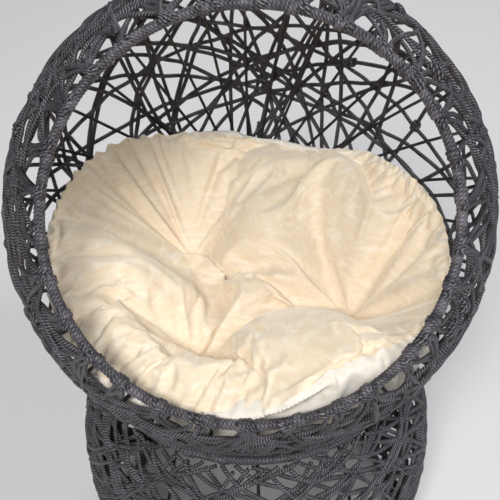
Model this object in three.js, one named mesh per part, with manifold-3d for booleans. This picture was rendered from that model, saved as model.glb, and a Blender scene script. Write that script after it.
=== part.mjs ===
// A wicker pet bed basket: a woven ball with a tilted round mouth, on a woven barrel base, with a
// round tufted cushion lying in the ball. Millimetres, +Z up, the mouth faces -Y, and the origin is
// on the floor under the middle of the basket's outline.

import * as THREE from "three";
import { mergeVertices } from "three/addons/utils/BufferGeometryUtils.js";
import Module from "manifold-3d";

const wasm = await Module();
wasm.setup();

// Driving dimensions, in millimetres and degrees.
const GAP = 0.3; // air left between pieces that touch on the real basket
const BALL_RADIUS = 235; // outside of the woven ball
const BALL_HEIGHT = 414; // middle of the ball above the floor
const MOUTH_TILT = 30; // the mouth's axis above the horizontal
const MOUTH_RADIUS = 175; // middle of the rim ring
const FORWARD = 7.3; // the mouth cuts the ball short in front, so its middle is this far forward
const WEAVE_THICKNESS = 7;
const WIRE_RADIUS = 1.8; // the thin rib wires
const ROD_RADIUS = 2.5; // the ring rods
const WRAP_RADIUS = 5; // cord wound round a ring rod
const POD_RIBS = 30;
const POLE_RING_RADIUS = 30;
const BASE_RING_RADIUS = 155; // the two rings that end the barrel
const BASE_TOP_RING_HEIGHT = 229.5;
const BASE_BULGE = 28; // how far the barrel swells past its rings
const BASE_FULLNESS = 2.6; // power of the barrel's side curve: 2 is a parabola
const BASE_RIBS = 12;
const CUSHION_RADIUS = 207;
const CUSHION_SEAM_HEIGHT = 366;
const CUSHION_LOFT = 39; // crown above the seam
const CUSHION_SAG = 40; // how far the middle of the top lies below the crown
const CUSHION_BOTTOM = 218; // lowest point of the cushion above the floor
const CUSHION_REST = 221; // the underside lies in the bowl of the ribs at this distance
const BOWL_POWER = 2.3; // 2 makes the underside round, more makes it flatter in the middle
const COVER_THICKNESS = 1.5;
const TUFT_ANGLES = [130, -20, -120];
const TUFT_DEPTH = 86;
const TUFT_WIDTH = 42;
const TIE_RADIUS = 2;
const KNOT_RADIUS = 5;
const KNOT_HEIGHT = 3;
const KNOT_CLEARANCE = 9; // between a knot and the cloth that it holds
const TIE_HOLE_RADIUS = 3.5;

// Where the slots in the cord sleeves face, from the ring's own plane.
const RIM_SLOT_TURN = 24; // past the ribs' direction at the rim, in degrees
const BASE_SLOT_TURN = 67.5;

// How finely the round shapes are cut.
const BALL_SEGMENTS = POD_RIBS; // so that each rib lies on a corner of the weave
const BASE_SEGMENTS = 36;
const CUSHION_SEGMENTS = 36;
const CUSHION_TOP_RINGS = 12;
const CUSHION_UNDER_RINGS = 7;
const TUFT_RING = 4; // the ring of the top that the tufts lie on, so that each has a corner in it
const RIB_STEPS = 9;
const BASE_RIB_STEPS = 8;
const WIRE_SIDES = 5;
const ROD_SIDES = 6;
const TIE_SEGMENTS = 10;
const CORNER_TURN = Math.PI / 4; // one side of the eight-sided section of a wrap

// Sizes worked out from those above.
const weaveInside = BALL_RADIUS - WEAVE_THICKNESS;
const ribDistance = weaveInside - GAP - WIRE_RADIUS; // rib wires from the middle of the ball
const rimAngle = Math.asin(MOUTH_RADIUS / weaveInside); // from the mouth's axis, at the ball's middle
const wrapCorner = WRAP_RADIUS / Math.cos(CORNER_TURN / 2);
const poleRingDistance = weaveInside - ROD_RADIUS - 5 * GAP;
const poleRingDepth = Math.sqrt(poleRingDistance ** 2 - POLE_RING_RADIUS ** 2);
const baseBottomRingHeight = WRAP_RADIUS;
const baseMiddle = (BASE_TOP_RING_HEIGHT + baseBottomRingHeight) / 2;
const baseHalf = (BASE_TOP_RING_HEIGHT - baseBottomRingHeight) / 2;

const degrees = THREE.MathUtils.degToRad;

// Materials.
const finish = (color, roughness, metalness) =>
  new THREE.MeshStandardMaterial({ color, roughness, metalness });
const steel = () => finish(0x17171a, 0.45, 0.6);
const cord = () => finish(0x4f4a50, 0.85, 0);
const velvet = () => finish(0xecd8b6, 0.95, 0);
const lining = () => finish(0xe6ddd0, 0.95, 0);
const stuffing = () => finish(0xf4f2ee, 1, 0);
const thread = () => finish(0xd9bf98, 0.9, 0);

function piece(name, geometry, material) {
  const mesh = new THREE.Mesh(geometry, material);
  mesh.name = name;
  return mesh;
}

// Turns a closed outline of [radius, height] corners about the local Z axis.
function turned(outline, segments) {
  const corners = outline.map(([radius, height]) => new THREE.Vector2(Math.max(radius, 0), height));
  const area = THREE.ShapeUtils.area(corners);
  if (area < 0) corners.reverse();
  const onAxis = corners[0].x === 0 && corners[corners.length - 1].x === 0;
  if (!onAxis) corners.push(corners[0].clone());
  const geometry = new THREE.LatheGeometry(corners, segments);
  geometry.rotateX(Math.PI / 2);
  return geometry;
}

// A rod bent into a ring.
function ringRod(ringRadius, height, segments) {
  const section = Array.from({ length: ROD_SIDES }, (_, i) => {
    const angle = (i * 2 * Math.PI) / ROD_SIDES;
    return [ringRadius + ROD_RADIUS * Math.cos(angle), height + ROD_RADIUS * Math.sin(angle)];
  });
  return turned(section, segments);
}

// Cord wound round a ring rod: an eight-sided sleeve that is open along one corner, where the rib
// wires reach the rod. slot is the direction of that corner in the section.
function ringWrap(ringRadius, height, slot, segments) {
  const arc = (size) =>
    Array.from({ length: 7 }, (_, i) => {
      const angle = slot + CORNER_TURN * (i + 1);
      return [ringRadius + size * Math.cos(angle), height + size * Math.sin(angle)];
    });
  const inside = (ROD_RADIUS + GAP) / Math.cos(CORNER_TURN / 2);
  return turned([...arc(wrapCorner), ...arc(inside).reverse()], segments);
}

// A rib wire along a curve.
function wire(curve, steps) {
  const section = new THREE.Shape(
    Array.from({ length: WIRE_SIDES }, (_, i) => {
      const angle = (i * 2 * Math.PI) / WIRE_SIDES;
      return new THREE.Vector2(WIRE_RADIUS * Math.cos(angle), WIRE_RADIUS * Math.sin(angle));
    }),
  );
  return new THREE.ExtrudeGeometry(section, { steps, bevelEnabled: false, extrudePath: curve });
}

// The ball. Its group's Z axis is the mouth's axis, and its origin is the middle of the ball.

const onBall = (distance, angle) => [distance * Math.sin(angle), distance * Math.cos(angle)];

const ribStart = rimAngle + (ROD_RADIUS + GAP) / weaveInside;
const ribEnd = Math.PI - Math.asin((POLE_RING_RADIUS + ROD_RADIUS + GAP) / ribDistance);
const weaveEdge = rimAngle + (wrapCorner + GAP) / weaveInside;

class RibCurve extends THREE.Curve {
  getPoint(t, target = new THREE.Vector3()) {
    const [x, z] = onBall(ribDistance, ribStart + t * (ribEnd - ribStart));
    return target.set(x, 0, z);
  }
}

function podWeave() {
  const ribAngles = Array.from(
    { length: RIB_STEPS },
    (_, i) => ribStart + ((i + 1) * (ribEnd - ribStart)) / RIB_STEPS,
  );
  const angles = [weaveEdge, ...ribAngles, Math.PI];
  const skin = (distance) =>
    angles.map((angle) => (angle === Math.PI ? [0, -distance] : onBall(distance, angle)));
  return turned([...skin(weaveInside).reverse(), ...skin(BALL_RADIUS)], BALL_SEGMENTS);
}

function pod() {
  const group = new THREE.Group();
  const [, rimHeight] = onBall(weaveInside, rimAngle);
  const slot = -rimAngle - degrees(RIM_SLOT_TURN);
  group.add(
    piece("pod_rim_ring", ringRod(MOUTH_RADIUS, rimHeight, BALL_SEGMENTS), steel()),
    piece("pod_rim_wrap", ringWrap(MOUTH_RADIUS, rimHeight, slot, BALL_SEGMENTS), cord()),
    piece("pod_pole_ring", ringRod(POLE_RING_RADIUS, -poleRingDepth, POD_RIBS), steel()),
    piece("pod_weave", podWeave(), cord()),
  );
  for (let i = 0; i < POD_RIBS; i++) {
    const name = "pod_rib_" + String(i + 1).padStart(2, "0");
    const rib = piece(name, wire(new RibCurve(), RIB_STEPS), steel());
    rib.rotation.z = (i * 2 * Math.PI) / POD_RIBS + Math.PI / 2;
    group.add(rib);
  }
  group.rotation.x = degrees(90 - MOUTH_TILT);
  group.position.z = BALL_HEIGHT;
  return group;
}

// The barrel base.

class BarrelCurve extends THREE.Curve {
  getPoint(t, target = new THREE.Vector3()) {
    const trim = 1 - (ROD_RADIUS + 2 * GAP) / baseHalf;
    const u = trim * (2 * t - 1);
    const swell = 1 - Math.abs(u) ** BASE_FULLNESS;
    return target.set(BASE_RING_RADIUS + BASE_BULGE * swell, 0, baseMiddle + baseHalf * u);
  }
}

// The barrel's side pushed out by a distance, ending just short of the ring wraps.
function barrelSide(distance) {
  const curve = new BarrelCurve();
  const end = (WRAP_RADIUS - ROD_RADIUS + 2) / curve.getLength();
  const stations = Array.from({ length: BASE_RIB_STEPS + 1 }, (_, i) => i / BASE_RIB_STEPS);
  return stations.map((station) => {
    const at = THREE.MathUtils.clamp(station, end, 1 - end);
    const point = curve.getPointAt(at);
    const along = curve.getTangentAt(at);
    return [point.x + distance * along.z, point.z - distance * along.x];
  });
}

function baseWeave() {
  const inside = WIRE_RADIUS + 3 * GAP;
  const outline = [
    ...barrelSide(inside + WEAVE_THICKNESS),
    ...barrelSide(inside).reverse(),
  ];
  return turned(outline, BASE_SEGMENTS);
}

function base() {
  const group = new THREE.Group();
  const rings = [
    ["top", BASE_TOP_RING_HEIGHT, degrees(-BASE_SLOT_TURN)],
    ["bottom", baseBottomRingHeight, degrees(BASE_SLOT_TURN)],
  ];
  for (const [name, height, slot] of rings) {
    const rod = ringRod(BASE_RING_RADIUS, height, BASE_SEGMENTS);
    const wrap = ringWrap(BASE_RING_RADIUS, height, slot, BASE_SEGMENTS);
    group.add(
      piece(`base_${name}_ring`, rod, steel()),
      piece(`base_${name}_wrap`, wrap, cord()),
    );
  }
  group.add(piece("base_weave", baseWeave(), cord()));
  for (let i = 0; i < BASE_RIBS; i++) {
    const name = "base_rib_" + String(i + 1).padStart(2, "0");
    const rib = piece(name, wire(new BarrelCurve(), BASE_RIB_STEPS), steel());
    rib.rotation.z = (i * 2 * Math.PI) / BASE_RIBS;
    group.add(rib);
  }
  return group;
}

// The cushion.

const tuftRadius = CUSHION_RADIUS * Math.sin((TUFT_RING / CUSHION_TOP_RINGS) * (Math.PI / 2));
const tufts = TUFT_ANGLES.map((angle) => ({
  turn: degrees(angle),
  x: tuftRadius * Math.cos(degrees(angle)),
  y: tuftRadius * Math.sin(degrees(angle)),
}));

// A point of the cushion's surface: turn is round the cushion, and down runs from 0 in the middle
// of the top, through 1 at the seam, to 2 in the middle of the underside.
function cushionSkin(down, turn) {
  const radius = CUSHION_RADIUS * Math.sin((down * Math.PI) / 2);
  const x = radius * Math.cos(turn);
  const y = radius * Math.sin(turn);
  const share = radius / CUSHION_RADIUS;
  if (down > 1) {
    const bowl = (1 - (radius / CUSHION_REST) ** BOWL_POWER) ** (1 / BOWL_POWER);
    const under = BALL_HEIGHT - (BALL_HEIGHT - CUSHION_BOTTOM) * bowl;
    const round = Math.sqrt(Math.max(1 - share ** 8, 0));
    return new THREE.Vector3(x, y, CUSHION_SEAM_HEIGHT + (under - CUSHION_SEAM_HEIGHT) * round);
  }
  const fall = Math.sqrt(1 - share ** 3);
  const sag = CUSHION_SAG * (1 - share ** 1.5) ** 2;
  const dimple = tufts.reduce((sum, tuft) => {
    const away = Math.hypot(x - tuft.x, y - tuft.y) / TUFT_WIDTH;
    return sum + TUFT_DEPTH * Math.exp(-away * away) * fall;
  }, 0);
  return new THREE.Vector3(x, y, CUSHION_SEAM_HEIGHT + CUSHION_LOFT * fall - sag - dimple);
}

// The same point moved inwards, square to the surface.
function cushionPoint(down, turn, inset) {
  const point = cushionSkin(down, turn);
  if (inset === 0) return point;
  const step = 0.004;
  const near = THREE.MathUtils.clamp(down, step, 2 - step);
  const along = cushionSkin(near + step, turn).sub(cushionSkin(near - step, turn));
  const round = cushionSkin(near, turn + step).sub(cushionSkin(near, turn - step));
  const inward = round.cross(along).normalize();
  if (down === 0 || down === 2) inward.set(0, 0, down - 1);
  return point.addScaledVector(inward, inset);
}

// The triangles between rows of points that run round the Z axis from the top down, facing out, or
// facing in for the inside of a cover. A row of one point is a pole.
function skin(rows, facingIn = false) {
  const triangles = [];
  const at = (row, k) => row[row.length === 1 ? 0 : k % CUSHION_SEGMENTS];
  for (let i = 0; i < rows.length - 1; i++) {
    const [upper, lower] = [rows[i], rows[i + 1]];
    for (let j = 0; j < CUSHION_SEGMENTS; j++) {
      if (upper.length > 1) triangles.push([at(upper, j), at(lower, j), at(upper, j + 1)]);
      if (lower.length > 1) triangles.push([at(upper, j + 1), at(lower, j), at(lower, j + 1)]);
    }
  }
  if (facingIn) triangles.forEach((triangle) => triangle.reverse());
  return triangles;
}

function fromTriangles(triangles) {
  const positions = triangles.flat().flatMap((point) => point.toArray());
  const geometry = new THREE.BufferGeometry();
  geometry.setAttribute("position", new THREE.Float32BufferAttribute(positions, 3));
  return geometry;
}

function cushionRow(down, inset) {
  const pole = down === 0 || down === 2;
  return Array.from({ length: pole ? 1 : CUSHION_SEGMENTS }, (_, j) =>
    cushionPoint(down, (j * 2 * Math.PI) / CUSHION_SEGMENTS, inset),
  );
}

// The values of down for the rows of points of each half, from the top down.
const topRows = Array.from({ length: CUSHION_TOP_RINGS + 1 }, (_, i) => i / CUSHION_TOP_RINGS);
const underRows = Array.from(
  { length: CUSHION_UNDER_RINGS + 1 },
  (_, i) => 1 + i / CUSHION_UNDER_RINGS,
);

// One half of the cover, whose edge stops a hair short of the seam.
function cover(rows) {
  const isTop = rows[0] === 0;
  const downs = rows.map((down) => (down === 1 ? (isTop ? 0.99 : 1.01) : down));
  const outer = downs.map((down) => cushionRow(down, 0));
  const inner = downs.map((down) => cushionRow(down, COVER_THICKNESS));
  const edge = isTop ? [outer.at(-1), inner.at(-1)] : [inner[0], outer[0]];
  return fromTriangles([...skin(outer), ...skin(inner, true), ...skin(edge)]);
}

function filling() {
  const downs = [...topRows, ...underRows.slice(1)];
  const rows = downs.map((down) => cushionRow(down, COVER_THICKNESS + 3 * GAP));
  return fromTriangles(skin(rows));
}

function toSolid(geometry) {
  const bare = new THREE.BufferGeometry();
  bare.setAttribute("position", geometry.getAttribute("position"));
  if (geometry.index) bare.setIndex(geometry.index);
  const merged = mergeVertices(bare, 1e-3);
  return new wasm.Manifold(
    new wasm.Mesh({
      numProp: 3,
      vertProperties: merged.attributes.position.array,
      triVerts: new Uint32Array(merged.index.array),
    }),
  );
}

function toGeometry(solid) {
  const mesh = solid.getMesh();
  const geometry = new THREE.BufferGeometry();
  geometry.setAttribute("position", new THREE.BufferAttribute(mesh.vertProperties, 3));
  geometry.setIndex(new THREE.BufferAttribute(mesh.triVerts, 1));
  return geometry;
}

// Cuts the holes that the tuft ties pass through.
function withTieHoles(geometry) {
  let solid = toSolid(geometry);
  for (const tuft of tufts) {
    const hole = new THREE.CylinderGeometry(
      TIE_HOLE_RADIUS,
      TIE_HOLE_RADIUS,
      BALL_HEIGHT,
      TIE_SEGMENTS,
    );
    hole.rotateX(Math.PI / 2);
    hole.translate(tuft.x, tuft.y, (BALL_HEIGHT + CUSHION_BOTTOM) / 2);
    solid = solid.subtract(toSolid(hole));
  }
  return toGeometry(solid);
}

// A knotted tie that holds the top cover down to the underside: a thread with a knot at each end.
function tuftTie(tuft) {
  const down = TUFT_RING / CUSHION_TOP_RINGS;
  const top = cushionSkin(down, tuft.turn).z + KNOT_CLEARANCE;
  const bottom = cushionSkin(2 - down, tuft.turn).z - KNOT_HEIGHT;
  const outline = [
    [0, bottom - KNOT_HEIGHT],
    [KNOT_RADIUS, bottom - KNOT_HEIGHT],
    [KNOT_RADIUS, bottom],
    [TIE_RADIUS, bottom],
    [TIE_RADIUS, top],
    [KNOT_RADIUS, top],
    [KNOT_RADIUS, top + KNOT_HEIGHT],
    [0, top + KNOT_HEIGHT],
  ];
  const geometry = turned(outline, TIE_SEGMENTS);
  geometry.translate(tuft.x, tuft.y, 0);
  return geometry;
}

function cushion() {
  const group = new THREE.Group();
  group.add(
    piece("cushion_top_cover", withTieHoles(cover(topRows)), velvet()),
    piece("cushion_bottom_cover", withTieHoles(cover(underRows)), lining()),
    piece("cushion_filling", withTieHoles(filling()), stuffing()),
  );
  tufts.forEach((tuft, i) => group.add(piece(`cushion_tuft_${i + 1}`, tuftTie(tuft), thread())));
  return group;
}

const basket = new THREE.Group();
basket.add(base(), pod(), cushion());
basket.position.y = -FORWARD;

export default basket;
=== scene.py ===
import math

import bpy
import numpy as np
from mathutils import Matrix, Vector
from mathutils.kdtree import KDTree


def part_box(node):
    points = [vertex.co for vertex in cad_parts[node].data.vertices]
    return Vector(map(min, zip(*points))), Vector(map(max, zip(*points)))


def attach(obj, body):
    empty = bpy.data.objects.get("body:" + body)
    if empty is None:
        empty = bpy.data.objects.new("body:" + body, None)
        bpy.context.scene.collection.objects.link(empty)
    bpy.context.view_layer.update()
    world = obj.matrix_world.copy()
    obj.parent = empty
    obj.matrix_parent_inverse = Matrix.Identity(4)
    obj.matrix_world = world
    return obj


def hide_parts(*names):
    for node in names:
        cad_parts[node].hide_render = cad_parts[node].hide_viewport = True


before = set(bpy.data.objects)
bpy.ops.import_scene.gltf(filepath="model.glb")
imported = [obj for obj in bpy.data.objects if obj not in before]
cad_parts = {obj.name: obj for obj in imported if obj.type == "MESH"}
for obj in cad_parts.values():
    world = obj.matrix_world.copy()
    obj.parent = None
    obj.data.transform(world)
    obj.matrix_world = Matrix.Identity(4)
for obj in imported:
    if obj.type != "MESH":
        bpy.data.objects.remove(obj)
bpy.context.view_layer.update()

rng = np.random.default_rng(11)
cloth_rng = np.random.default_rng(5)

# Driving sizes, in metres. Angles are in degrees where a comment doesn't say radians.
MOUTH_TILT = 30            # the mouth's axis above the horizontal
ROD = 0.0025               # radius of the ring rods
WRAP = 0.005               # outside radius of the cord wound round a ring rod
CORD = 0.0046              # diameter of the paper cord
CORD_UNEVENNESS = 0.10     # random share by which its thickness changes along it
WRAP_CORD = 0.0027         # thickness of the cord where it is wound tight round a ring
WRAP_WIDTH = 0.98          # width of that cord, as a share of the loose cord's
WRAP_PITCH = 0.0035        # spacing of the coils of a wrap
WRAP_STEPS = 9             # points in each turn of a wrap
STEP = 0.0040              # spacing of the points along a strand
FLOOR_GAP = 0.0003         # the cord stays this far above the floor
RIBS = 30
WEAVE_PIECES = 4           # each weave is split into this many pieces, to keep them small

# The ball's weave.
POD_STRANDS = 53           # strands that cross the back of the ball
FIRST_STRAND = 240         # where their even spread starts
BACK_REACH = 47            # the furthest that one passes from the ball's back
PLASTIC = 1.3247179572     # powers of this number spread pairs of values evenly
STRAND_BEND = 0.16         # radians
FIRST_BEND = (0.2, 0.7)    # radians round the ball before a strand's first bend
BEND_SPACING = (0.25, 0.8) # and from one bend to the next
BEND_STEPS = (3, 7)        # how many steps a bend takes
LONGEST_STRAND = 5.2       # radians round the ball
SHORTEST_STRAND = 0.15     # it can't be tied to the rim again before this, in radians
TWIN_SHARE = 0.14          # of the crossing strands, the share with a second one beside it
TWIN_GAP = 0.0066
BAND_STRANDS = 34          # strands that run beside the mouth
BAND_RIBS = (4, 13)        # how many ribs each passes over
BAND_LEVELS = (58, 82)     # from the mouth's axis
BAND_DRIFT = 4.5           # change of level from rib to rib
BAND_STEPS = 12            # points from rib to rib
BINDING_SHARE = 0.35       # of the strands, the share with a knot somewhere along them
BINDING_CORD = 0.0040      # diameter of the cord of a knot
BINDING_TURNS = (2.6, 4.2)

# The base's weave.
BASE_STRANDS = 134
BASE_LEANS = (17, 60)      # from the rings' direction
BASE_BEND = 0.20           # radians
BASE_FIRST_BEND = (0.02, 0.08)    # length of a strand before its first bend
BASE_BEND_SPACING = (0.04, 0.12)  # and from one bend to the next
BASE_BEND_STEPS = (5, 12)  # how many steps a bend takes
BASE_LONGEST = 1.2         # the longest that a strand gets
BASE_TWINS = 0.22          # share of the strands with a second one beside it

# How strands pass over and under each other.
CROSSING_REACH = 0.0040    # strands closer than this cross
CROSSING_STEPS = 11        # two strands cross once at most in this many steps
CROSSING_APART = 5         # fewest steps between two crossings of a strand
CROSSING_WIDTH = 2.2       # steps over which a strand rises or sinks
CROSSING_CALM = 0.12       # the larger, the sooner it levels out between crossings

# Places, from the frame.
weave_low, weave_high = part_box("pod_weave")
BALL = (weave_high.z - weave_low.z) / 2                   # radius of the ball
rim_low, rim_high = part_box("pod_rim_ring")
RIM_RADIUS = (rim_high.x - rim_low.x) / 2 - ROD
tilt = math.radians(MOUTH_TILT)
MOUTH_AXIS = np.array([0, -math.cos(tilt), math.sin(tilt)])
MOUTH_UP = np.array([0, math.sin(tilt), math.cos(tilt)])
ACROSS = np.array([1.0, 0, 0])
top_low, top_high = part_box("base_top_ring")
AXIS = np.array([0, (top_high.y + top_low.y) / 2, 0])   # the upright line through ball and base
CENTRE = AXIS + [0, 0, (weave_high.z + weave_low.z) / 2]
RIM_MIDDLE = (np.array(rim_low) + np.array(rim_high)) / 2
RIM_HEIGHT = float((RIM_MIDDLE - CENTRE) @ MOUTH_AXIS)
RIM_ANGLE = math.atan2(RIM_RADIUS, RIM_HEIGHT)
RIM_DISTANCE = math.hypot(RIM_RADIUS, RIM_HEIGHT)
BASE_RING = (top_high.x - top_low.x) / 2 - ROD
BASE_TOP = (top_high.z + top_low.z) / 2
BASE_BOTTOM = WRAP
barrel_low, barrel_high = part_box("base_weave")
BARREL = (barrel_high.x - barrel_low.x) / 2              # radius of the base at its widest


# --- Mesh making -------------------------------------------------------------------------------

def run_length(path):
    """How far each point of a path is along it."""
    return np.concatenate([[0], np.cumsum(np.linalg.norm(np.diff(path, axis=0), axis=1))])


def at_places(places, values, wanted):
    """Rows of values, known at places, at the wanted places between them."""
    columns = [np.interp(wanted, places, values[:, k]) for k in range(values.shape[1])]
    return np.stack(columns, 1)


class Builder:
    """Collects tubes and makes one mesh of them."""

    def __init__(self):
        self.points, self.quads, self.coords, self.ends, self.count = [], [], [], [], 0

    def tube(self, path, normal, radius, sides=6, flat=0.92, closed=False, phase=0.0):
        """A tube along path. normal is a direction across the path at each point, in which the tube
        is flat times as thick. Its UV map holds the length along it and the share of the turn
        round it, and phase moves the length on."""
        path, normal = np.asarray(path), np.asarray(normal)
        n = len(path)
        along = np.roll(path, -1, 0) - np.roll(path, 1, 0) if closed else np.gradient(path, axis=0)
        along /= np.linalg.norm(along, axis=1)[:, None]
        side = np.cross(along, normal)
        side /= np.linalg.norm(side, axis=1)[:, None]
        up = np.cross(side, along)
        radius = np.broadcast_to(radius, n)
        angles = np.arange(sides) * 2 * np.pi / sides
        high, wide = (np.cos(angles) * flat)[:, None], np.sin(angles)[:, None]
        ring = up[:, None] * high + side[:, None] * wide
        points = path[:, None] + ring * radius[:, None, None]
        reach = run_length(path) + phase
        first = self.count
        rows = n if closed else n - 1
        i, j = np.meshgrid(np.arange(rows), np.arange(sides), indexing="ij")
        i2, j2 = (i + 1) % n, (j + 1) % sides
        quads = np.stack([i * sides + j, i * sides + j2, i2 * sides + j2, i2 * sides + j], -1)
        u0 = reach[i]
        u1 = np.where(i2 > i, reach[i2], reach[i] + STEP)
        v0, v1 = j / sides, (j + 1) / sides
        coords = np.stack([u0, v0, u0, v1, u1, v1, u1, v0], -1).reshape(rows, sides, 4, 2)
        self.points.append(points.reshape(-1, 3))
        self.quads.append(quads.reshape(-1, 4) + first)
        self.coords.append(coords.reshape(-1, 4, 2))
        if not closed:
            self.ends.append([first + k for k in range(sides)][::-1])
            self.ends.append([first + (n - 1) * sides + k for k in range(sides)])
        self.count += n * sides

    def mesh(self, name, material):
        """One object, of the collected tubes."""
        points = np.concatenate(self.points)
        quads = np.concatenate(self.quads)[:, ::-1]
        coords = np.concatenate(self.coords)[:, ::-1].reshape(-1, 2)
        ends = [e[::-1] for e in self.ends]
        mesh = bpy.data.meshes.new(name)
        loops = np.concatenate([quads.ravel(), np.array(sum(ends, []), int)])
        sizes = np.concatenate([np.full(len(quads), 4), np.array([len(e) for e in ends], int)])
        mesh.vertices.add(len(points))
        mesh.vertices.foreach_set("co", points.ravel().astype(np.float32))
        mesh.loops.add(len(loops))
        mesh.loops.foreach_set("vertex_index", loops.astype(np.int32))
        mesh.polygons.add(len(sizes))
        starts = np.concatenate([[0], np.cumsum(sizes)[:-1]])
        mesh.polygons.foreach_set("loop_start", starts.astype(np.int32))
        mesh.polygons.foreach_set("loop_total", sizes.astype(np.int32))
        mesh.polygons.foreach_set("use_smooth", np.ones(len(sizes), bool))
        layer = mesh.uv_layers.new(name="cord")
        flat = np.zeros((len(loops), 2), np.float32)
        flat[: len(coords)] = coords
        layer.data.foreach_set("uv", flat.ravel())
        mesh.update(calc_edges=True)
        mesh.validate()
        mesh.materials.append(material)
        made = bpy.data.objects.new(name, mesh)
        bpy.context.scene.collection.objects.link(made)
        return made


def smooth(values, width):
    """A moving average along a path, twice, that keeps its ends."""
    values = np.asarray(values, float)
    if len(values) < 2 * width + 3:
        return values
    kernel = np.ones(2 * width + 1) / (2 * width + 1)
    for _ in range(2):
        padded = np.concatenate([values[:1].repeat(width, 0), values, values[-1:].repeat(width, 0)])
        if values.ndim == 1:
            values = np.convolve(padded, kernel, "valid")
        else:
            columns = [np.convolve(column, kernel, "valid") for column in padded.T]
            values = np.stack(columns, 1)
    return values


def even(path, step):
    """The path cut into equal steps."""
    lengths = run_length(path)
    count = max(int(round(lengths[-1] / step)), 4)
    return at_places(lengths, path, np.linspace(0, lengths[-1], count + 1))


# --- Materials ---------------------------------------------------------------------------------

CORD_LAY = 0.0029          # spacing of the twisted strands along a cord
CORD_STARTS = 3            # how many there are around it
CORD_FIBRES = 0.4          # how strongly the paper's fibres show
# how strongly the cord's height shows in its colour: the twist's painted shade and painted highlight,
# and the paper's fibres
CORD_CONTRAST = 0.62
CORD_MOTTLING = 0.50
# from painted shade in the twist's valleys at the dark end to a painted highlight on its crests at the
# pale end
CORD_TONES = [(0.12, (0.006, 0.005, 0.007)), (0.47, (0.024, 0.022, 0.026)),
              (0.90, (0.340, 0.318, 0.362))]
STEEL_TONES = [(0.35, (0.008, 0.008, 0.009)), (0.75, (0.022, 0.021, 0.023))]
# random patches of tone, the palest stop a painted sheen where the velvet's pile lies the other way
VELVET_TONES = [(0.30, (0.775, 0.625, 0.445)), (0.52, (0.825, 0.695, 0.525)),
                (0.74, (0.900, 0.820, 0.690))]
LINING_TONES = [(0.3, (0.70, 0.64, 0.55)), (0.7, (0.85, 0.80, 0.72))]
THREAD_TONES = [(0.3, (0.62, 0.48, 0.33)), (0.7, (0.80, 0.67, 0.50))]


def new_material(name):
    """A material with a Principled BSDF, its nodes, its links and that shader."""
    material = bpy.data.materials.new(name)
    material.use_nodes = True
    nodes = material.node_tree.nodes
    return material, nodes, material.node_tree.links, nodes["Principled BSDF"]


def ramp(nodes, stops):
    """A colour ramp with the stops given as place and colour."""
    node = nodes.new("ShaderNodeValToRGB")
    for _ in stops[2:]:
        node.color_ramp.elements.new(0.5)
    for element, (at, colour) in zip(node.color_ramp.elements, sorted(stops)):
        element.position = at
        element.color = (*colour, 1)
    return node


def noise_node(nodes, scale, detail=None, roughness=None, distortion=None):
    node = nodes.new("ShaderNodeTexNoise")
    given = {"Scale": scale, "Detail": detail, "Roughness": roughness, "Distortion": distortion}
    for socket, value in given.items():
        if value is not None:
            node.inputs[socket].default_value = value
    return node


def add_bump(nodes, links, shader, height, strength, distance):
    """Roughens a shader's surface by a height."""
    bump = nodes.new("ShaderNodeBump")
    bump.inputs["Strength"].default_value = strength
    bump.inputs["Distance"].default_value = distance
    links.new(height, bump.inputs["Height"])
    links.new(bump.outputs[0], shader.inputs["Normal"])


def add_colours(nodes, links, shader, tone, stops):
    """Colours a shader by a tone."""
    colours = ramp(nodes, stops)
    links.new(tone, colours.inputs[0])
    links.new(colours.outputs[0], shader.inputs["Base Color"])


def add_up(nodes, links, one, two):
    node = nodes.new("ShaderNodeMath")
    node.operation = "ADD"
    links.new(one, node.inputs[0])
    links.new(two, node.inputs[1])
    return node.outputs[0]


def cord_material(name, lay_depth, lift):
    """Twisted paper cord: fine slanting strands of paper. Its colour is darker in the valleys between
    them, a painted shade, and paler on their crests, a painted highlight. lay_depth is how strongly
    they show, and lift raises the whole colour, a painted highlight that makes it paler than the loose
    cord."""
    material, nodes, links, shader = new_material(name)
    uv = nodes.new("ShaderNodeUVMap")
    uv.uv_map = "cord"
    split = nodes.new("ShaderNodeSeparateXYZ")
    links.new(uv.outputs[0], split.inputs[0])

    def maths(kind, a, b=None):
        node = nodes.new("ShaderNodeMath")
        node.operation = kind
        for socket, value in zip(node.inputs, (a, b)):
            if isinstance(value, (int, float)):
                socket.default_value = value
            elif value is not None:
                links.new(value, socket)
        return node.outputs[0]

    along = maths("MULTIPLY", split.outputs[0], 2 * math.pi / CORD_LAY)
    around = maths("MULTIPLY", split.outputs[1], 2 * math.pi * CORD_STARTS)
    twist = maths("SINE", maths("ADD", along, around))
    fibres = noise_node(nodes, 1100, 3).outputs[0]
    patches = noise_node(nodes, 26, 5).outputs[0]
    lay = maths("MULTIPLY", twist, lay_depth)
    height = maths("ADD", lay, maths("MULTIPLY", fibres, CORD_FIBRES))
    mottled = maths("ADD", maths("MULTIPLY", patches, CORD_MOTTLING), lift)
    # the colour follows the twist: painted shade in its valleys and a painted highlight on its crests,
    # with the fibres and mottling
    tone = maths("ADD", maths("MULTIPLY", height, CORD_CONTRAST), mottled)
    add_colours(nodes, links, shader, tone, CORD_TONES)
    links.new(maths("ADD", maths("MULTIPLY", fibres, 0.25), 0.34), shader.inputs["Roughness"])
    shader.inputs["Specular IOR Level"].default_value = 0.5
    add_bump(nodes, links, shader, height, 0.8, 0.0006)
    return material


def steel_material():
    """Black powder coat on the rib wires and ring rods."""
    material, nodes, links, shader = new_material("frame_steel")
    grain = noise_node(nodes, 700, 3).outputs[0]
    add_colours(nodes, links, shader, grain, STEEL_TONES)
    shader.inputs["Roughness"].default_value = 0.34
    shader.inputs["Metallic"].default_value = 0.0
    add_bump(nodes, links, shader, grain, 0.25, 0.0002)
    return material


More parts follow.
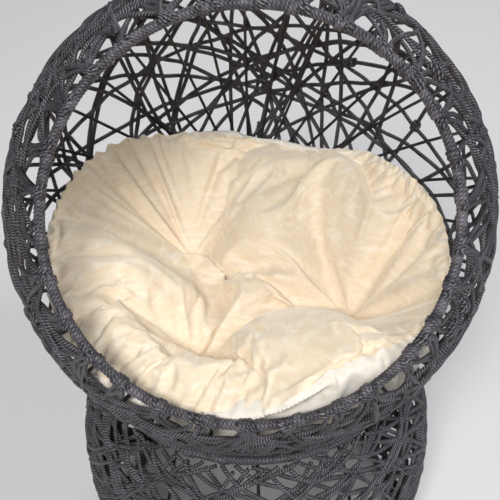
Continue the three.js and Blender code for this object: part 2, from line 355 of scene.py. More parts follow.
def velvet_material():
    """Short-pile velvet: a soft sheen, and random patches of tone in its colour, the paler ones a
    painted sheen where the pile lies the other way.
    """
    material, nodes, links, shader = new_material("cushion_velvet")
    # patches spread at random, the paler ones a painted sheen where the pile lies the other way
    patches = noise_node(nodes, 17, 7, 0.62, 1.3).outputs[0]
    add_colours(nodes, links, shader, patches, VELVET_TONES)
    shader.inputs["Roughness"].default_value = 0.85
    shader.inputs["Specular IOR Level"].default_value = 0.2
    shader.inputs["Sheen Weight"].default_value = 0.55
    shader.inputs["Sheen Roughness"].default_value = 0.38
    shader.inputs["Sheen Tint"].default_value = (1, 0.96, 0.88, 1)
    pile = noise_node(nodes, 1500, 3).outputs[0]
    nap = noise_node(nodes, 160, 4).outputs[0]
    add_bump(nodes, links, shader, add_up(nodes, links, pile, nap), 0.35, 0.0006)
    return material


def lining_material():
    """Plain woven cotton lining, off-white."""
    material, nodes, links, shader = new_material("cushion_lining")
    coord = nodes.new("ShaderNodeTexCoord")
    yarns = []
    for direction in ("X", "Y"):
        wave = nodes.new("ShaderNodeTexWave")
        wave.bands_direction = direction
        wave.inputs["Scale"].default_value = 420
        wave.inputs["Distortion"].default_value = 1.5
        links.new(coord.outputs["Object"], wave.inputs["Vector"])
        yarns.append(wave.outputs["Fac"])
    patches = noise_node(nodes, 30, 5).outputs[0]
    add_colours(nodes, links, shader, patches, LINING_TONES)
    shader.inputs["Roughness"].default_value = 0.9
    shader.inputs["Sheen Weight"].default_value = 0.2
    add_bump(nodes, links, shader, add_up(nodes, links, *yarns), 0.3, 0.0004)
    return material


def thread_material():
    """Twisted upholstery thread."""
    material, nodes, links, shader = new_material("thread")
    add_colours(nodes, links, shader, noise_node(nodes, 1200).outputs[0], THREAD_TONES)
    shader.inputs["Roughness"].default_value = 0.6
    return material


CORD_FINISH = cord_material("paper_cord", 0.45, 0)
# the wound cord's whole colour is lifted by 0.15, a painted highlight that makes it paler than the loose
# cord
WRAP_FINISH = cord_material("paper_cord_wrap", 0.10, 0.15)
STEEL_FINISH = steel_material()
VELVET_FINISH = velvet_material()
LINING_FINISH = lining_material()
THREAD_FINISH = thread_material()


# --- Strands of the ball -----------------------------------------------------------------------

EDGE = RIM_ANGLE + math.radians(1.4)   # where a strand leaves the sphere for the rim
RIB_PITCH = 2 * math.pi / RIBS


def ball_point(angle, turn, distance):
    """A point at an angle from the mouth's axis, turned round it, at a distance from the middle."""
    angle, turn = np.asarray(angle)[..., None], np.asarray(turn)[..., None]
    out = np.cos(turn) * ACROSS + np.sin(turn) * MOUTH_UP
    return distance * (np.sin(angle) * out + np.cos(angle) * MOUTH_AXIS)


def turn_of(direction):
    """How far a direction is turned round the mouth's axis."""
    return math.atan2(direction @ MOUTH_UP, direction @ ACROSS)


def unit(vectors):
    """The vectors at length 1."""
    return vectors / np.linalg.norm(vectors, axis=-1, keepdims=True)


def tying_place(turn):
    """The place on the rim, a little beside a rib, that is nearest to a turn."""
    return (round(turn / RIB_PITCH - 0.25) + 0.25 + rng.normal(0, 0.09)) * RIB_PITCH


def wander(place, heading):
    """Walks over the unit sphere from place along heading until it comes back to the mouth. The
    cord runs straight over several ribs, and bends where it is caught on another."""
    step = STEP / BALL
    path, walked, curve, left = [place], 0.0, 0.0, 0
    next_bend = rng.uniform(*FIRST_BEND)
    while walked < LONGEST_STRAND:
        if walked > next_bend:
            left = int(rng.integers(*BEND_STEPS))
            curve = rng.normal(0, STRAND_BEND) / left
            next_bend = walked + rng.uniform(*BEND_SPACING)
        turn = curve if left > 0 else 0.0
        left -= 1
        place, heading = (place * math.cos(step) + heading * math.sin(step),
                          heading * math.cos(step) - place * math.sin(step))
        heading = heading * math.cos(turn) + np.cross(place, heading) * math.sin(turn)
        place, heading = unit(place), unit(heading - place * (heading @ place))
        path.append(place)
        walked += step
        if place @ MOUTH_AXIS > math.cos(EDGE) and walked > SHORTEST_STRAND:
            return np.array(path), True
    return np.array(path), False


def pull_end(path, target, reach):
    """Moves the end of a path on the sphere to a target direction, easing off over reach points."""
    reach = min(reach, len(path) - 1)
    ease = np.linspace(0, 1, reach)
    path = path.copy()
    path[-reach:] += (ease ** 2 * (3 - 2 * ease))[:, None] * (target - path[-1])
    return unit(path)


def crossing_strand(i):
    """A strand from the rim over the back of the ball. It sets out along a great circle. The circles
    are spread evenly in direction and in how near they pass to the ball's back."""
    about = 2 * math.pi * (i / PLASTIC + 0.05 * rng.random())
    beside_back = math.radians(BACK_REACH) * ((i / PLASTIC ** 2 + 0.1 * rng.random()) % 1)
    one, two = ball_point(math.pi / 2, about, 1.0), ball_point(math.pi / 2, about + math.pi / 2, 1.0)
    pole = math.cos(beside_back) * one + math.sin(beside_back) * MOUTH_AXIS
    across = math.acos(-math.tan(beside_back) / math.tan(EDGE))
    start = math.cos(across) * one + math.sin(across) * two
    turn = tying_place(turn_of(start))
    place = ball_point(EDGE, turn, 1.0)
    heading = np.cross(pole, place)
    heading = unit(heading - place * (heading @ place))
    heading = -heading if heading @ MOUTH_AXIS > 0 else heading
    path, tied = wander(place, heading)
    if tied:
        path = pull_end(path, ball_point(EDGE, tying_place(turn_of(path[-1])), 1.0), 18)
    return {"path": path, "tied": (True, tied)}


def beside(strand):
    """A second cord that runs beside a strand, now nearer and now further."""
    path = strand["path"]
    aside = unit(np.cross(np.gradient(path, axis=0), path))
    count = len(path)
    gap = TWIN_GAP * (1 + 0.45 * smooth(rng.normal(0, 3, count), 9))
    gap *= np.sin(np.linspace(0, math.pi, count)) ** 0.2
    return {"path": unit(path + aside * (gap / BALL)[:, None]), "tied": (False, False)}


def band_strand(i):
    """A strand that leaves the rim, runs beside it over several ribs, and comes back to it."""
    ribs = int(rng.integers(*BAND_RIBS))
    first = i * RIBS / BAND_STRANDS + rng.uniform(-0.5, 0.5)
    level = rng.uniform(*BAND_LEVELS)
    levels = [math.degrees(EDGE)]
    for _ in range(ribs - 1):
        level = float(np.clip(level + rng.normal(0, BAND_DRIFT), BAND_LEVELS[0], BAND_LEVELS[1] + 6))
        levels.append(level)
    levels.append(math.degrees(EDGE))
    marks = (round(first) + np.arange(ribs + 1)) * RIB_PITCH
    marks = marks + rng.normal(0, 0.16, ribs + 1) * RIB_PITCH
    marks[0], marks[-1] = tying_place(marks[0]), tying_place(marks[-1])
    fine = np.linspace(0, ribs, ribs * BAND_STEPS + 1)
    angle = np.radians(np.interp(fine, np.arange(ribs + 1), levels))
    turn = np.interp(fine, np.arange(ribs + 1), marks)
    path = even(ball_point(angle, turn, BALL), STEP)
    return {"path": unit(path), "tied": (True, True)}


def pod_strands():
    """The unit directions along each strand of the ball, and which of its ends are tied to the rim."""
    strands = []
    for i in range(POD_STRANDS):
        strand = crossing_strand(FIRST_STRAND + i)
        strands.append(strand)
        if rng.random() < TWIN_SHARE:
            strands.append(beside(strand))
    strands += [band_strand(i) for i in range(BAND_STRANDS)]
    for strand in strands:
        strand["path"] = unit(smooth(strand["path"], 2))
    return strands


def crossing_heights(paths, spacing):
    """A height for every point of every strand, from -1 to 1, so that strands pass over and under
    each other in turn where they cross."""
    flat = np.concatenate(paths)
    owner = np.concatenate([np.full(len(p), i) for i, p in enumerate(paths)])
    index = np.concatenate([np.arange(len(p)) for p in paths])
    tree = KDTree(len(flat))
    for k, place in enumerate(flat):
        tree.insert(place, k)
    tree.balance()
    crossings = {}
    for k, place in enumerate(flat):
        mine = owner[k]
        for _, other, gap in tree.find_range(place, spacing):
            theirs = owner[other]
            if theirs <= mine:
                continue
            key = (mine, theirs, index[k] // CROSSING_STEPS, index[other] // CROSSING_STEPS)
            if key not in crossings or gap < crossings[key][0]:
                crossings[key] = (gap, index[k], index[other])
    at = [[] for _ in paths]
    last = [0] * len(paths)
    found = [(mine, a, theirs, b) for (mine, theirs, _, _), (_, a, b) in crossings.items()]
    for mine, a, theirs, b in sorted(found, key=lambda crossing: crossing[:2]):
        over = -last[mine] or (1 if rng.random() < 0.5 else -1)
        if any(abs(x - a) < CROSSING_APART for x, _ in at[mine][-2:]):
            continue
        at[mine].append((a, over))
        at[theirs].append((b, -over))
        last[mine] = over
    heights = []
    for path, marks in zip(paths, at):
        level = np.zeros(len(path))
        weight = np.full(len(path), CROSSING_CALM)
        places = np.arange(len(path))
        for where, sign in marks:
            near = np.exp(-((places - where) / CROSSING_WIDTH) ** 2)
            level += sign * near
            weight += near
        heights.append(smooth(level / weight, 1))
    return heights


TUCK_POINTS = 14
TUCK_LEAD = 35              # where a strand meets the rim, round its section
TUCK_SWEEP = (120, 200)     # how far it goes round the rim
TUCK_HEIGHT = 0.42          # of its middle over the wrap at first, in cords
TUCK_SINK = 0.75            # how far it then sinks into the wrap, in cords
TUCK_SHIFT = 1.2            # how far it moves along the rim, in cords


def tuck(ring_middle, out, up, around, lead, sweep, side):
    """The end of a strand: part of a turn over a wrapped ring, sinking in between its coils. out and
    up span the ring's section, and lead is where the strand meets it."""
    share = np.linspace(0, 1, TUCK_POINTS)
    angles = np.radians(lead + sweep * share)
    normal = np.cos(angles)[:, None] * out + np.sin(angles)[:, None] * up
    size = WRAP + CORD * (TUCK_HEIGHT - TUCK_SINK * share ** 2)
    shift = side * CORD * TUCK_SHIFT * share
    return ring_middle + size[:, None] * normal + shift[:, None] * around, normal


def rim_tuck(direction):
    """A tuck over the mouth's rim, from the outside of the ball over the edge."""
    turn = turn_of(direction)
    out = np.cos(turn) * ACROSS + np.sin(turn) * MOUTH_UP
    radial = math.sin(RIM_ANGLE) * out + math.cos(RIM_ANGLE) * MOUTH_AXIS
    inward = math.cos(RIM_ANGLE) * out - math.sin(RIM_ANGLE) * MOUTH_AXIS
    middle = RIM_RADIUS * out + RIM_HEIGHT * MOUTH_AXIS
    side = 1 if rng.random() < 0.5 else -1
    around = np.cross(radial, inward)
    return tuck(middle, inward, radial, around, TUCK_LEAD, rng.uniform(*TUCK_SWEEP), side)


def joined(points, normals, start, end, overlap=1):
    """A strand's points and normals with its two ends, where it has them, put on."""
    if end is not None:
        points = np.concatenate([points[:-overlap], end[0]])
        normals = np.concatenate([normals[:-overlap], end[1]])
    if start is not None:
        points = np.concatenate([start[0][::-1], points[overlap:]])
        normals = np.concatenate([start[1][::-1], normals[overlap:]])
    return points, normals


def add_cord(builder, points, normals):
    """Cuts a strand into even steps, makes a tube of it and gives its length."""
    lengths = run_length(points)
    marks = np.linspace(0, lengths[-1], max(int(lengths[-1] / STEP), 4))
    normals = at_places(lengths, normals, marks)
    points = smooth(at_places(lengths, points, marks), 1)
    points[:, 2] = np.maximum(points[:, 2], CORD / 2 + FLOOR_GAP)
    thickness = CORD / 2 * (1 + CORD_UNEVENNESS * smooth(rng.normal(0, 1, len(points)), 4))
    builder.tube(points, normals, thickness, phase=rng.uniform(0, 1))
    return lengths[-1]


def add_binding(builder, points, normals, at):
    """A knot: thinner cord wound tight round a strand, a few turns, at one of its points."""
    turns = rng.uniform(*BINDING_TURNS)
    count = int(turns * WRAP_STEPS)
    share = np.linspace(0, 1, count)
    reach = turns * BINDING_CORD * 0.55 / STEP
    index = np.clip(at + (share - 0.5) * 2 * reach, 0, len(points) - 1)
    rows = np.arange(len(points))
    middle = at_places(rows, points, index)
    up = unit(at_places(rows, normals, index))
    side = unit(np.cross(np.gradient(middle, axis=0), up))
    angle = share * turns * 2 * math.pi + rng.uniform(0, 2 * math.pi)
    normal = np.cos(angle)[:, None] * up + np.sin(angle)[:, None] * side
    path = middle + normal * (CORD * 0.5 + BINDING_CORD * 0.42)
    builder.tube(path, normal, BINDING_CORD / 2, flat=0.8)


def finish_weave(builders, name, node):
    """Makes a weave's pieces, which stand for its node in the frame."""
    for k, builder in enumerate(builders):
        piece = builder.mesh(f"{name}_{k + 1}", CORD_FINISH)
        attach(piece, "basket")
    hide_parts(node)


INNER = RIM_DISTANCE + 0.0022   # distance from the ball's middle of a cord that lies on the ribs
SWING = 0.0022                  # how far a cord rises or sinks where it crosses another


def build_pod_weave():
    strands = pod_strands()
    heights = crossing_heights([s["path"] for s in strands], CROSSING_REACH / BALL)
    builders = [Builder() for _ in range(WEAVE_PIECES)]
    total = 0.0
    for i, (strand, height) in enumerate(zip(strands, heights)):
        path = strand["path"]
        distance = INNER + SWING * (1 + height)
        ends = [rim_tuck(path[k]) if tied else None for k, tied in zip((0, -1), strand["tied"])]
        points, normals = joined(path * distance[:, None], path, *ends)
        total += add_cord(builders[i % WEAVE_PIECES], points + CENTRE, normals)
        if rng.random() < BINDING_SHARE:
            at = rng.uniform(0.15, 0.85) * len(path)
            add_binding(builders[i % WEAVE_PIECES], path * distance[:, None] + CENTRE, path, at)
    finish_weave(builders, "pod_weave_strands", "pod_weave")
    print("pod cord", round(total, 1), "m")


# --- Strands of the base -----------------------------------------------------------------------

BASE_FULLNESS = 2.6    # power of the curve of the barrel's side: 2 is a parabola
BARREL_EDGE = 0.004    # the cord passes this far outside the middle of a ring's rod
SLOPE_STEP = 0.001
BASE_MIDDLE = (BASE_TOP + BASE_BOTTOM) / 2
BASE_HALF = (BASE_TOP - BASE_BOTTOM) / 2
BARREL_SKIN = 0.0052   # from the barrel's outside in to the middle of a cord lying on the ribs
BASE_END = 0.002       # how far from a ring's middle a strand starts, under the ring's wrap
ENDS_SINK = 0.009      # how deep its end sinks towards the ring's rod


def barrel_radius(height):
    """Radius of the barrel, to the middle of the cord, at a height."""
    share = np.abs((height - BASE_MIDDLE) / BASE_HALF)
    widest = BARREL - BARREL_SKIN
    ends = BASE_RING + BARREL_EDGE
    return ends + (widest - ends) * (1 - np.minimum(share, 1) ** BASE_FULLNESS)


def barrel_slope(height):
    above, below = barrel_radius(height + SLOPE_STEP), barrel_radius(height - SLOPE_STEP)
    return (above - below) / (2 * SLOPE_STEP)


def barrel_walk(turn, lean):
    """Walks down the barrel from the top ring to the bottom one, as rows of turn and height. lean is
    the angle from the ring's own direction, and changes a little where the cord is caught."""
    height = BASE_TOP - BASE_END
    path = [(turn, height)]
    curve, left, walked, next_bend = 0.0, 0, 0.0, rng.uniform(*BASE_FIRST_BEND)
    least, most = np.radians(BASE_LEANS)
    forward = math.copysign(1, lean)
    lean = abs(lean)
    while height > BASE_BOTTOM + BASE_END and walked < BASE_LONGEST:
        if walked > next_bend:
            left = int(rng.integers(*BASE_BEND_STEPS))
            curve = rng.normal(0, BASE_BEND) / left
            next_bend = walked + rng.uniform(*BASE_BEND_SPACING)
        if left > 0:
            lean = float(np.clip(lean + curve, least, most))
            left -= 1
        stretch = math.sqrt(1 + barrel_slope(height) ** 2)
        turn += forward * math.cos(lean) * STEP / barrel_radius(height)
        height -= math.sin(lean) * STEP / stretch
        path.append((turn, height))
        walked += STEP
    return np.array(path)


def barrel_points(path, lift):
    """Points of a path of turns and heights on the barrel, raised off it by lift."""
    radius = barrel_radius(path[:, 1]) + lift
    return AXIS + np.stack([radius * np.cos(path[:, 0]), radius * np.sin(path[:, 0]), path[:, 1]], 1)


def barrel_normals(path):
    slope = barrel_slope(path[:, 1])
    return unit(np.stack([np.cos(path[:, 0]), np.sin(path[:, 0]), -slope], 1))


def base_paths():
    """The strands of the base, as rows of turn and height."""
    paths = []
    for i in range(BASE_STRANDS):
        turn = 2 * math.pi * (i + rng.uniform(-0.3, 0.3)) / BASE_STRANDS
        way = 1 if i % 2 else -1
        steepness = (i // 2 / PLASTIC + 0.1 * rng.random()) % 1
        least, most = BASE_LEANS
        lean = math.radians(least + (most - least) * steepness ** 1.3)
        path = barrel_walk(turn, way * lean)
        path = np.stack([smooth(path[:, 0], 2), smooth(path[:, 1], 2)], 1)
        paths.append(path)
        if rng.random() < BASE_TWINS:
            twin = path.copy()
            gap = TWIN_GAP / BARREL / math.sin(lean)
            twin[:, 0] += gap * (1 + 0.5 * smooth(rng.normal(0, 3, len(path)), 9))
            paths.append(twin)
    return paths


def build_base_weave():
    paths = base_paths()
    heights = crossing_heights([barrel_points(path, 0.0) for path in paths], CROSSING_REACH)
    builders = [Builder() for _ in range(WEAVE_PIECES)]
    total = 0.0
    for i, (path, height) in enumerate(zip(paths, heights)):
        from_end = np.minimum(BASE_TOP - path[:, 1], path[:, 1] - BASE_BOTTOM)
        lift = SWING * (1 + height) - ENDS_SINK * np.exp(-from_end / WRAP)
        total += add_cord(builders[i % WEAVE_PIECES], barrel_points(path, lift), barrel_normals(path))
    finish_weave(builders, "base_weave_strands", "base_weave")
    print("base cord", round(total, 1), "m")


# --- Cord wound round the rings ----------------------------------------------------------------

def winding(builder, middle, radius, spans, one, two, axis, size, closed=False):
    """Cord wound round a ring rod, over each span of turns round the ring, at a distance size from
    the rod's middle to the cord's."""
    for start, end in spans:
        count = max(int((end - start) * radius / WRAP_PITCH * WRAP_STEPS), 8)
        share = np.arange(count) / (count if closed else count - 1)
        around = start + (end - start) * share
        turns = (end - start) * radius / WRAP_PITCH
        turns = round(turns) if closed else turns
        angle = share * turns * 2 * math.pi
        wobble = 1 + 0.03 * smooth(rng.normal(0, 1, count), 5)
        out = np.cos(around)[:, None] * one + np.sin(around)[:, None] * two
        normal = np.cos(angle)[:, None] * out + np.sin(angle)[:, None] * axis
        path = middle + radius * out + (size * wobble)[:, None] * normal
        builder.tube(path, normal, CORD / 2 * WRAP_WIDTH, flat=WRAP_CORD / CORD, closed=closed)


def hitches(count, chance):
    """Spans of a ring where a tied strand is wound round it once more, a few turns at a time."""
    spans = []
    for k in range(count):
        if rng.random() < chance:
            start = (k + 0.25 + rng.normal(0, 0.12)) * 2 * math.pi / count
            spans.append((start, start + rng.uniform(0.16, 0.36) * 2 * math.pi / count))
    return spans


def ring_wrap(name, middle, radius, one, two, axis, count, chance, node):
    """The wrap of one ring: a layer of coils with hitches over it."""
    builder = Builder()
    under = ROD + WRAP_CORD / 2 - 0.0001
    winding(builder, middle, radius, [(0, 2 * math.pi)], one, two, axis, under, closed=True)
    winding(builder, middle, radius, hitches(count, chance), one, two, axis, under + WRAP_CORD * 0.55)
    piece = builder.mesh(name, WRAP_FINISH)
    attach(piece, "basket")
    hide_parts(node)


def build_wraps():
    x, y, z = np.eye(3)
    ring_wrap("pod_rim_coil", CENTRE + RIM_HEIGHT * MOUTH_AXIS, RIM_RADIUS,
              ACROSS, MOUTH_UP, MOUTH_AXIS, RIBS, 0.8, "pod_rim_wrap")
    ring_wrap("base_top_coil", AXIS + BASE_TOP * z, BASE_RING, x, y, z, RIBS, 0.5, "base_top_wrap")
    bottom = BASE_BOTTOM + FLOOR_GAP
    ring_wrap("base_bottom_coil", AXIS + bottom * z, BASE_RING, x, y, z, RIBS, 0, "base_bottom_wrap")


# --- Cushion -----------------------------------------------------------------------------------

# The cushion is sewn as the real one is: two round covers, cut larger than the finished cushion
# and joined at a gathered seam, are drawn together at three tufts and blown up with pressure.
COVER_RINGS = 62
COVER_RADIUS = 0.232        # of a cover before sewing
COVER_EASE = 0.100          # extra fullness of the top cover
UNDER_EASE = 0.195          # and of the underside
TUFT_SHARE = 0.50           # where a tuft lies on the cover, as a share of its radius
TUFT_HELD = 7               # points of the cover that each tuft holds
TUFT_DRAW = 0.35            # how close together it draws them
GIRTH_RADIUS = 0.162        # middle of the round edge, from the cushion's axis
GIRTH_SIZE = 0.045          # radius of the round edge
GIRTH_HEIGHT = 0.366        # of the middle of the round edge above the floor
CUT_DROP = 0.02             # the covers start this far below it
TUFT_HEIGHTS = (0.296, 0.306, 0.308)
FORWARD_TILT = 0.070        # the cushion is this much lower in front for each metre
REST_DISTANCE = 0.221       # the underside rests on the ribs' bowl
BOWL_WIDTH = 0.2            # radius of the underside in it
BOWL_POWER = 2.3            # 2 makes the underside round, more makes it flatter in the middle
GATHERS = 78                # waves of the gathered seam
GATHER_DEPTH = 0.0022
GATHER_SPREAD = 0.45        # how unevenly they are spaced
HELD_SHARE = 0.73           # the part of the underside that lies in the bowl, as a share
CLOTH_LIMIT = 0.2232        # nothing of the cushion is further than this from the ball's middle
SEAM_ROLL = [(-180, -26), (-110, -30), (-90, -26), (-78, 30), (-64, 36), (-52, 26), (-38, 18), (-20, 44),
             (5, 62), (20, 76), (42, 68), (58, 10), (82, 0), (92, 46), (102, 46), (112, 0), (135, -14),
             (180, -26)]    # how far the seam is rolled up round the edge, at turns round it
SEAM_LIFT = [(-180, 0.036), (-160, 0.018), (-135, 0), (20, 0), (44, -0.017), (64, -0.012),
             (90, -0.026), (106, -0.008), (124, 0.038), (140, 0.050), (156, 0.050),
             (180, 0.036)]  # and how far it rides up the ball, which is most on the left
ROLLED = (-20, 60)          # rolls of the seam from which the covers shift, and where it is complete
UNDER_SHIFT = 0.9           # how much fuller the underside then is
TUFTS = ["cushion_tuft_1", "cushion_tuft_2", "cushion_tuft_3"]
STITCHES = 3                # stitches that cross at each tuft
STITCH_LENGTH = 0.0075
STITCH_RISE = 0.0016        # of the middle of the lowest stitch over its ends
STITCH_SINK = 0.0004        # of its ends into the velvet
THREAD = 0.0011             # diameter of the thread
THREAD_POINTS = 12
KNOT_TURNS = 3


def round_web(rings):
    """A round net of nearly even triangles: ring k holds 6k points. Gives each point's share of the
    radius and its angle, the triangles, and the first point of the last ring."""
    first = np.concatenate([[0], 1 + 3 * np.arange(rings + 1) * np.arange(1, rings + 2)])
    points = [(0.0, 0.0)]
    triangles = []

    def index(k, j):
        return first[k] + j % max(6 * k, 1)

    for k in range(1, rings + 1):
        points += [(k / rings, 2 * math.pi * j / (6 * k)) for j in range(6 * k)]
        for side in range(6):
            for j in range(k):
                outer, inner = side * k + j, side * (k - 1) + j
                here, beyond = index(k, outer), index(k, outer + 1)
                triangles.append((here, beyond, index(k - 1, inner)))
                if j < k - 1:
                    inside = index(k - 1, inner + 1)
                    triangles.append((beyond, inside, index(k - 1, inner)))
    return np.array(points), np.array(triangles), first[rings]


def along_seam(table, turn):
    """A value of the seam at each turn round the cushion, smoothed over 20 degrees."""
    stops, values = np.array(table, float).T
    degrees = np.degrees(turn)
    spread = [np.interp((degrees + d + 180) % 360 - 180, stops, values) for d in (-10, -5, 0, 5, 10)]
    return np.mean(spread, 0)


def seam_line(turn):
    """Points of the seam, gathered into small uneven waves."""
    roll = np.radians(along_seam(SEAM_ROLL, turn))
    marks = np.arange(0, len(turn) + 8, 8)
    pace = np.interp(np.arange(len(turn)), marks, cloth_rng.normal(0, 1, len(marks)))
    phase = np.cumsum(1 + GATHER_SPREAD * pace)
    phase *= 2 * math.pi * GATHERS / phase[-1]
    wave = GATHER_DEPTH * np.sin(phase) * (1 + 0.4 * np.sin(0.37 * phase + 1))
    radius = GIRTH_RADIUS + (GIRTH_SIZE + wave / 2) * np.cos(roll) - wave * np.sin(roll)
    height = GIRTH_HEIGHT + GIRTH_SIZE * np.sin(roll) + wave * np.cos(roll)
    return np.stack([radius * np.cos(turn), radius * np.sin(turn), height], 1)


def tuft_places():
    """The middles of the tufts' nodes, from the cushion's axis at the floor."""
    places = []
    for name in TUFTS:
        low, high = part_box(name)
        places.append(np.array((low + high) / 2) - AXIS)
    return places


def cushion_patterns():
    """The covers before sewing, where their held points end up, which points are held, and the faces
    of the top and of the underside."""
    polar, triangles, seam = round_web(COVER_RINGS)
    share, turn = polar.T
    count = len(share)
    out = np.stack([np.cos(turn), np.sin(turn)], 1)
    shift = np.interp(along_seam(SEAM_ROLL, turn), ROLLED, (0, 1)) * share ** 2
    top_ease = COVER_EASE * (1 - share ** 2) * (1 - shift)
    under_ease = UNDER_EASE * (1 - share ** 2) * (1 + UNDER_SHIFT * shift)
    top = np.column_stack([COVER_RADIUS * share[:, None] * out, top_ease])
    under = np.column_stack([COVER_RADIUS * share[:, None] * out, -under_ease])
    cut = np.concatenate([top, under[:seam]])
    cut[:, 2] += GIRTH_HEIGHT - CUT_DROP
    sewn = cut.copy()
    sewn[seam:count] = seam_line(turn[seam:])
    held = list(range(seam, count))
    for place, tuft_height in zip(tuft_places(), TUFT_HEIGHTS):
        angle = math.atan2(place[1], place[0])
        middle = TUFT_SHARE * np.array([math.cos(angle), math.sin(angle)])
        away = share[:, None] * out - middle
        for i in np.argsort(np.linalg.norm(away, axis=1))[:TUFT_HELD]:
            sewn[i] = [*(place[:2] + away[i] * COVER_RADIUS * TUFT_DRAW), tuft_height]
            held.append(int(i))
    sewn[:count, 2] += FORWARD_TILT * sewn[:count, 1]
    sewn[seam:count, 2] += along_seam(SEAM_LIFT, turn[seam:])
    inner = share[:seam]
    radius = BOWL_WIDTH * np.sin(inner * math.pi / 2 * 0.97)
    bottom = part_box("cushion_bottom_cover")[0].z
    bowl = (1 - (radius / REST_DISTANCE) ** BOWL_POWER) ** (1 / BOWL_POWER)
    depth = CENTRE[2] - (CENTRE[2] - bottom) * bowl
    sewn[count:] = np.column_stack([radius[:, None] * out[:seam], depth])
    held += [int(i) + count for i in np.flatnonzero(inner < HELD_SHARE)]
    index = np.concatenate([np.arange(seam) + count, np.arange(seam, count)])
    return cut, sewn, held, triangles, index[triangles][:, ::-1]


CLOTH_FRAMES = 30
DRAWN_AT = 18               # the frame at which the held points are in place


def sew(cut, sewn, held, faces):
    """Draws the held points from the cut pattern to their sewn places under pressure, with Cloth."""
    mesh = bpy.data.meshes.new("cushion_cloth")
    mesh.from_pydata(cut.tolist(), [], faces.tolist())
    cloth = bpy.data.objects.new("cushion_cloth", mesh)
    scene = bpy.context.scene
    scene.collection.objects.link(cloth)
    cloth.shape_key_add(name="cut")
    key = cloth.shape_key_add(name="sewn")
    key.data.foreach_set("co", sewn.ravel().astype(np.float32))
    for value, frame_number in ((0, 1), (1, DRAWN_AT)):
        key.value = value
        key.keyframe_insert("value", frame=frame_number)
    group = cloth.vertex_groups.new(name="held")
    group.add(sorted(set(held)), 1.0, "REPLACE")
    modifier = cloth.modifiers.new("cloth", "CLOTH")
    settings = modifier.settings
    settings.vertex_group_mass = "held"
    settings.quality = 6
    settings.mass = 0.3
    settings.tension_stiffness = 15
    settings.compression_stiffness = 10
    settings.shear_stiffness = 3
    settings.bending_stiffness = 1.0
    settings.tension_damping = settings.compression_damping = settings.shear_damping = 5
    settings.bending_damping = 0.5
    settings.air_damping = 2
    settings.use_pressure = True
    settings.uniform_pressure_force = 8
    settings.effector_weights.gravity = 0
    modifier.collision_settings.use_collision = False
    frames = CLOTH_FRAMES
    modifier.point_cache.frame_end = frames
    for number in range(1, frames + 1):
        scene.frame_set(number)
    shown = cloth.evaluated_get(bpy.context.evaluated_depsgraph_get())
    result = np.zeros(len(shown.data.vertices) * 3, np.float32)
    shown.data.vertices.foreach_get("co", result)
    scene.frame_set(1)
    bpy.data.objects.remove(cloth)
    return result.reshape(-1, 3).astype(float)


def within_ball(points):
    """Keeps points inside the ribs."""
    away = points + AXIS - CENTRE
    distance = np.linalg.norm(away, axis=1)
    return points - away * (1 - np.minimum(1, CLOTH_LIMIT / distance))[:, None]


def cover(name, points, faces, material, slot, *nodes):
    """One of the two covers, from the points that its faces use."""
    used = np.unique(faces)
    place = np.zeros(len(points), int)
    place[used] = np.arange(len(used))
    mesh = bpy.data.meshes.new(name)
    mesh.from_pydata((points[used] + AXIS).tolist(), [], place[faces].tolist())
    mesh.shade_smooth()
    mesh.materials.append(material)
    piece = bpy.data.objects.new(name, mesh)
    bpy.context.scene.collection.objects.link(piece)
    finer = piece.modifiers.new("finer", "SUBSURF")
    finer.levels = finer.render_levels = 1
    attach(piece, "cushion")
    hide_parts(*nodes)
    return piece


def stitch(node, place):
    """A tuft's tie: a few short stitches of thread over the pinched velvet, the thread down through
    the filling, and its knot under the lining."""
    builder = Builder()
    low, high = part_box(node)
    knot = (high.x - low.x) / 2
    share = np.linspace(0, 1, THREAD_POINTS)
    upward = np.tile([0, 0, 1.0], (THREAD_POINTS, 1))
    sideways = np.tile([1.0, 0, 0], (THREAD_POINTS, 1))
    for k in range(STITCHES):
        angle = k * math.pi / STITCHES + rng.normal(0, 0.15)
        way = np.array([math.cos(angle), math.sin(angle), 0])
        arch = np.sin(share * math.pi)
        path = place + (share - 0.5)[:, None] * way * STITCH_LENGTH
        path = path + np.outer(arch * STITCH_RISE * (1 + 0.3 * k) - STITCH_SINK, [0, 0, 1])
        builder.tube(path, upward, THREAD / 2)
    down = np.array([place[0], place[1], low.z + knot])
    drop = place + (down - place) * np.linspace(0.02, 1, THREAD_POINTS)[:, None]
    builder.tube(drop, sideways, THREAD / 2)
    turns = np.linspace(0, KNOT_TURNS * 2 * math.pi, 40)
    ring = np.stack([np.cos(turns), np.sin(turns), np.linspace(-0.5, 0.5, 40)], 1)
    builder.tube(down + ring * knot * 0.5, unit(ring), THREAD)
    piece = builder.mesh(node.replace("tuft", "stitch"), THREAD_FINISH)
    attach(piece, "cushion")
    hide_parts(node)


def build_cushion():
    cut, sewn, held, top_faces, under_faces = cushion_patterns()
    points = within_ball(sew(cut, sewn, held, np.concatenate([top_faces, under_faces])))
    cover("cushion_top", points, top_faces, VELVET_FINISH, "cushion_velvet",
          "cushion_top_cover", "cushion_filling")
    cover("cushion_under", points, under_faces, LINING_FINISH, "cushion_lining",
          "cushion_bottom_cover")
    for name, place, height in zip(TUFTS, tuft_places(), TUFT_HEIGHTS):
        stitch(name, np.array([*place[:2], height + FORWARD_TILT * place[1]]) + AXIS)


build_pod_weave()
build_base_weave()
build_wraps()
build_cushion()
for name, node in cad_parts.items():
    if "rib" in name or "ring" in name:
        node.data.materials.clear()
        node.data.materials.append(STEEL_FINISH)


# --- Stage, light and camera -------------------------------------------------------------------

FLOOR_COLOUR = (0.66, 0.655, 0.66, 1)
FLOOR_SIZE = 12
LIT_PLACE = (0, 0, 0.4)     # the lights point at the ball


def floor_material():
    material, _, _, shader = new_material("floor_paint")
    shader.inputs["Base Color"].default_value = FLOOR_COLOUR
    shader.inputs["Roughness"].default_value = 0.7
    return material


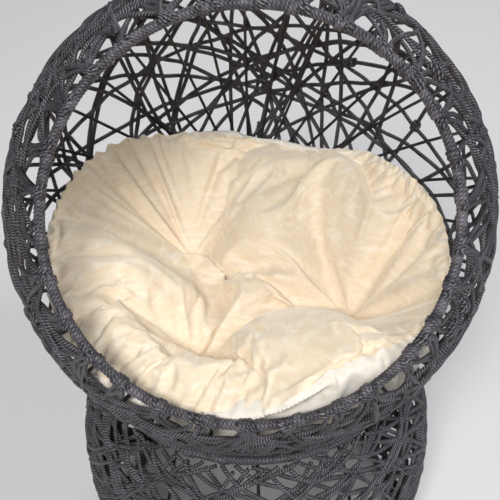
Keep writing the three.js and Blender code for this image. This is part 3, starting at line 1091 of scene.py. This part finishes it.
def build_stage():
    bpy.ops.mesh.primitive_plane_add(size=FLOOR_SIZE)
    floor = bpy.context.object
    floor.name = "floor"
    floor.data.materials.append(floor_material())


def area_light(name, place, size, power, colour):
    light = bpy.data.lights.new(name, "AREA")
    light.energy = power
    light.size = size
    light.color = colour
    holder = bpy.data.objects.new(name, light)
    holder.location = place
    holder.rotation_euler = (Vector(LIT_PLACE) - Vector(place)).to_track_quat("-Z", "Y").to_euler()
    bpy.context.scene.collection.objects.link(holder)


def build_light():
    world = bpy.data.worlds.new("studio")
    world.use_nodes = True
    background = world.node_tree.nodes["Background"]
    background.inputs["Color"].default_value = (0.93, 0.96, 1.0, 1)
    background.inputs["Strength"].default_value = 0.10
    bpy.context.scene.world = world
    area_light("key", (-0.8, -3.5, 3.6), 1.3, 215, (1, 0.99, 0.97))
    area_light("fill", (2.8, -1.4, 3.4), 1.6, 82, (0.95, 0.97, 1))
    area_light("back", (0.3, 2.9, 3.2), 2.0, 60, (0.96, 0.98, 1))


CAMERA_AWAY = 4 * 0.235     # from the ball's middle
CAMERA_RISE = 33            # above the horizontal, seen from there
CAMERA_PITCH = 35.4         # how far it looks down
CAMERA_ROLL = -1.7
CAMERA_ASIDE = -0.0015 / 0.964 * CAMERA_AWAY
LENS = 69.4                 # in millimetres, on a sensor 36 wide


def build_camera():
    data = bpy.data.cameras.new("camera")
    data.lens = LENS
    data.sensor_width = 36
    data.clip_start = 0.05
    rise = math.radians(CAMERA_RISE)
    camera = bpy.data.objects.new("camera", data)
    camera.location = Vector(CENTRE) + Vector((0, -math.cos(rise), math.sin(rise))) * CAMERA_AWAY
    camera.location.x = CAMERA_ASIDE
    turn = Matrix.Rotation(math.radians(90 - CAMERA_PITCH), 4, "X")
    roll = Matrix.Rotation(math.radians(CAMERA_ROLL), 4, "Z")
    camera.rotation_euler = (turn @ roll).to_euler()
    bpy.context.scene.collection.objects.link(camera)
    bpy.context.scene.camera = camera


build_stage()
build_light()
build_camera()
bpy.context.scene.view_settings.view_transform = "Standard"
